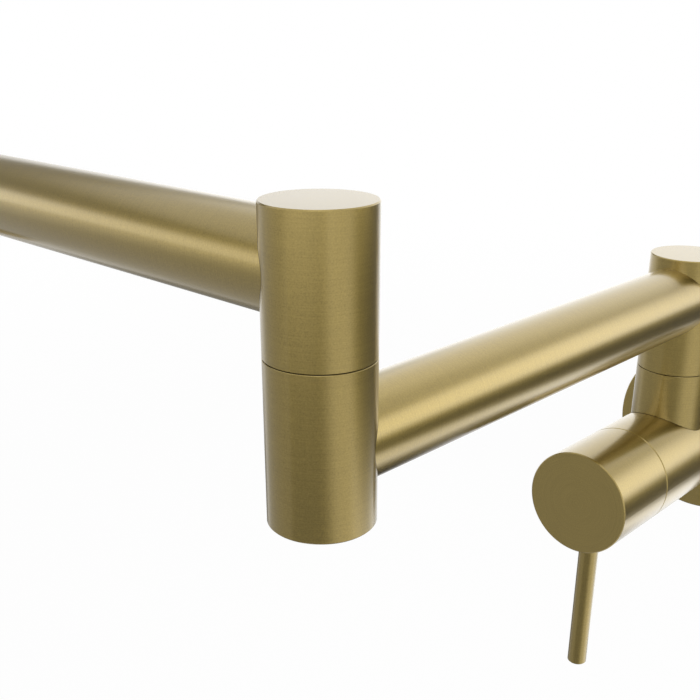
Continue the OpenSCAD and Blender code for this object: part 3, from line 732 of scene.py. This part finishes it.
@dataclass(frozen=True)
class Panel:
    """A soft-edged rectangle in the studio, given as it looks from the object.

    Bearings are in degrees, 0 towards the wall and 90 to the right. Spreads are the angles from
    its middle to its sides and to its top. It fades out over its outer half in a few steps, each
    a smaller rectangle just in front of the last.
    """

    name: str
    azimuth: float
    elevation: float
    spread_across: float
    spread_up: float
    level: float
    farthest: float = 4.0
    fade: float = 0.5
    steps: int = 4
    step_gap: float = 0.01

    def distance(self, height: float) -> float:
        """Works out how far off the panel stands: its farthest, or less to stay above the floor.

        Args:
            height: How high the aim is above the floor, in metres.

        Returns:
            The distance from the aim, in metres.
        """
        rise = math.radians(self.elevation)
        drop = math.tan(math.radians(self.spread_up)) * math.cos(rise) - math.sin(rise)
        return min(self.farthest, height / max(drop, height / self.farthest))

    def build(self, aim: Vector, height: float) -> None:
        """Makes the panel's steps and turns them to face the aim.

        Args:
            aim: The point that it faces.
            height: How high the aim is above the floor, in metres.
        """
        direction = compass(self.azimuth, self.elevation)
        across, up = (math.tan(math.radians(a)) for a in (self.spread_across, self.spread_up))
        for step in range(self.steps):
            distance = self.distance(height) - step * self.step_gap
            side = 2 * distance * (1 - self.fade * (step + 0.5) / self.steps)
            panel = self.make(step, side * across, side * up)
            panel.location = aim + direction * distance
            panel.rotation_euler = direction.to_track_quat("Z", "Y").to_euler()
            bpy.context.scene.collection.objects.link(panel)

    def make(self, step: int, width: float, height: float) -> bpy.types.Object:
        """Makes one step of the lamp or card, of the given width and height in metres."""
        raise NotImplementedError


@dataclass(frozen=True)
class Softbox(Panel):
    """A soft lamp: a rectangle of even light, whose level adds to the white behind it."""

    farthest: float = 2.3

    def make(self, step: int, width: float, height: float) -> bpy.types.Object:
        """Makes an area lamp, with its share of the level, that the camera doesn't see.

        Args:
            step: The step's number, from 0.
            width: Its width in metres.
            height: Its height in metres.

        Returns:
            The lamp.
        """
        name = f"{self.name}_{step + 1}"
        data = bpy.data.lights.new(name, "AREA")
        data.shape = "RECTANGLE"
        data.size, data.size_y = width, height
        # An even rectangle of level L and area A gives off pi times L times A watts
        data.energy = math.pi * self.level / self.steps * width * height
        lamp = bpy.data.objects.new(name, data)
        lamp.visible_camera = False
        return lamp


@dataclass(frozen=True)
class GreyCard(Panel):
    """A grey card, set up so that bright metal has something darker than white to show."""

    def make(self, step: int, width: float, height: float) -> bpy.types.Object:
        """Makes a flat card, darker than the last, that nothing but reflections shows.

        Args:
            step: The step's number, from 0.
            width: Its width in metres.
            height: Its height in metres.

        Returns:
            The card.
        """
        name = f"{self.name}_{step + 1}"
        mesh = rectangle(name, width, height)
        mesh.materials.append(glow(name, 1 - (1 - self.level) * (step + 1) / self.steps))
        card = bpy.data.objects.new(name, mesh)
        for ray in ("camera", "diffuse", "shadow", "transmission", "volume_scatter"):
            setattr(card, f"visible_{ray}", False)
        return card


@dataclass
class Studio:
    """White surroundings, a pale floor well below the tap, soft lamps and grey cards.

    The surroundings look white, and light the tap with the fill's share of that. Lengths are in
    metres, and each panel's level counts white as 1.
    """

    fill: float = 0.6
    floor_drop: float = 1.25
    floor_side: float = 60.0
    floor_colour: str = "#F4F4F4"
    floor_own_white: float = 0.95
    floor_fades: tuple[float, float] = (1.5, 8.0)
    floor_gap: float = 0.04
    # Each panel's azimuth, elevation, spread across and spread up in degrees, and its level
    lamps: Sequence[Softbox] = (
        Softbox("right_wall_softbox", 48, 10, 31, 18, 1.56),
        Softbox("left_wall_softbox", -27, 30, 39, 54, 0.39),
        Softbox("low_right_softbox", 34, -36, 39, 10, 0.66),
        Softbox("front_right_softbox", 155, 12, 66, 28, 0.58),
        Softbox("front_left_softbox", -140, 10, 43, 11, 0.73),
        Softbox("high_front_softbox", 136, 66, 20, 16, 0.85),
    )
    cards: Sequence[GreyCard] = (
        GreyCard("left_card", -90, 25, 52, 10, 0.15),
        GreyCard("low_wall_card", 28, -15, 48, 17, 0.1),
        GreyCard("low_front_card", 171, -39, 55, 34, 0.29),
        GreyCard("low_left_card", -128, -34, 45, 40, 0.48),
        GreyCard("right_card", 86, 28, 43, 20, 0.03),
        GreyCard("low_back_card", -58, -39, 27, 24, 0.2),
        GreyCard("under_arm_card", -7, -56, 23, 20, 0.03),
    )
    aim: Vector = field(default_factory=lambda: Vector((-0.05, -0.25, 0.09)))

    def build(self) -> None:
        """Makes the world, the floor, the lamps and the cards."""
        self.world()
        self.floor()
        height = self.aim.z - self.floor_level() - self.floor_gap
        for item in (*self.lamps, *self.cards):
            item.build(self.aim, height)
            LOG.info("set up %s", item.name)

    def floor_level(self) -> float:
        """Gives the floor's height, which is well below the tap."""
        return CAD_BOX[0].z - self.floor_drop

    def world(self) -> None:
        """Makes surroundings that look white and light the object at a plain level."""
        world = bpy.data.worlds.new("white_studio")
        bpy.context.scene.world = world
        world.use_nodes = True
        graph = Graph(world.node_tree)
        white = graph.add("ShaderNodeBackground", color=WHITE, strength=1.0)
        fill = graph.add("ShaderNodeBackground", color=WHITE, strength=self.fill)
        mixed = graph.add("ShaderNodeMixShader", in0=seen_directly(graph),
                          in1=fill.outputs["Background"], in2=white.outputs["Background"])
        graph.add("ShaderNodeOutputWorld", surface=mixed.outputs["Shader"])

    def floor(self) -> None:
        """Makes a pale floor that keeps the object's shadow."""
        mesh = rectangle("floor", self.floor_side, self.floor_side, self.floor_level())
        mesh.materials.append(self.pale_floor())
        floor = bpy.data.objects.new("floor", mesh)
        bpy.context.scene.collection.objects.link(floor)

    def pale_floor(self) -> bpy.types.Material:
        """Makes the floor's finish: a matt near-white with a white of its own.

        The floor's own white rises with the distance from the tap, so that it runs out into the
        white behind it without an edge.

        Returns:
            The material.
        """
        made = bpy.data.materials.new("pale_floor")
        made.use_nodes = True
        graph = Graph(made.node_tree)
        place = graph.add("ShaderNodeTexCoord")
        reach = graph.add("ShaderNodeVectorMath", {"operation": "LENGTH"},
                          in0=place.outputs["Object"])
        near, far = self.floor_fades
        whiter = graph.add("ShaderNodeMapRange", {"interpolation_type": "SMOOTHSTEP"},
                           value=reach.outputs["Value"], from_min=near, from_max=far,
                           to_min=self.floor_own_white, to_max=1.0)
        own = graph.add("ShaderNodeMath", {"operation": "MULTIPLY"}, in0=seen_directly(graph),
                        in1=whiter.outputs["Result"])
        matt = graph.add("ShaderNodeBsdfDiffuse", color=linear(self.floor_colour))
        white = graph.add("ShaderNodeEmission", color=WHITE, strength=1.0)
        mixed = graph.add("ShaderNodeMixShader", in0=own.outputs["Value"],
                          in1=matt.outputs["BSDF"], in2=white.outputs["Emission"])
        graph.add("ShaderNodeOutputMaterial", surface=mixed.outputs["Shader"])
        return made


@dataclass
class PhotographCamera:
    """The photograph's viewpoint: seen from the front right and above, close to the elbow.

    The bearing is counted to the left from the wall and the pitch up from the horizon, in degrees.
    """

    place: tuple[float, float, float] = (0.19618, -0.4799, 0.2018)
    bearing: float = 44.08
    pitch: float = -22.643
    lens_mm: float = 50.0
    sensor_mm: float = 36.0
    shift: tuple[float, float] = (0.0067, 0.1034)
    seen_from_to: tuple[float, float] = (0.01, 100.0)

    def build(self) -> None:
        """Makes the camera and hands it to the scene."""
        data = bpy.data.cameras.new("photograph")
        data.lens, data.sensor_width = self.lens_mm, self.sensor_mm
        data.shift_x, data.shift_y = self.shift
        data.clip_start, data.clip_end = self.seen_from_to
        camera = bpy.data.objects.new("photograph", data)
        camera.location = self.place
        # An unturned camera looks straight down, so a quarter turn brings it to the horizon
        camera.rotation_euler = (math.radians(90 + self.pitch), 0.0, math.radians(self.bearing))
        bpy.context.scene.collection.objects.link(camera)
        bpy.context.scene.camera = camera


def main() -> None:
    """Builds every sub-assembly, the studio and the camera."""
    logging.basicConfig(level=logging.INFO, format="%(name)s: %(message)s")
    for part in (
        WallMount(),
        Valve("wall", "valve_body", Turning.INTO_WALL),
        Valve("outlet", "outlet_valve_body", Turning.ALONG_WALL),
        Knuckle("column", "swivel_neck", "column_shell"),
        Knuckle("elbow", "elbow_lower_shell", "elbow_upper_shell"),
        Arms(),
        Spout(),
        Studio(),
        PhotographCamera(),
    ):
        part.build()
        LOG.info("built %s", type(part).__name__)
    bpy.context.scene.view_settings.view_transform = "Standard"


if __name__ == "__main__":
    main()
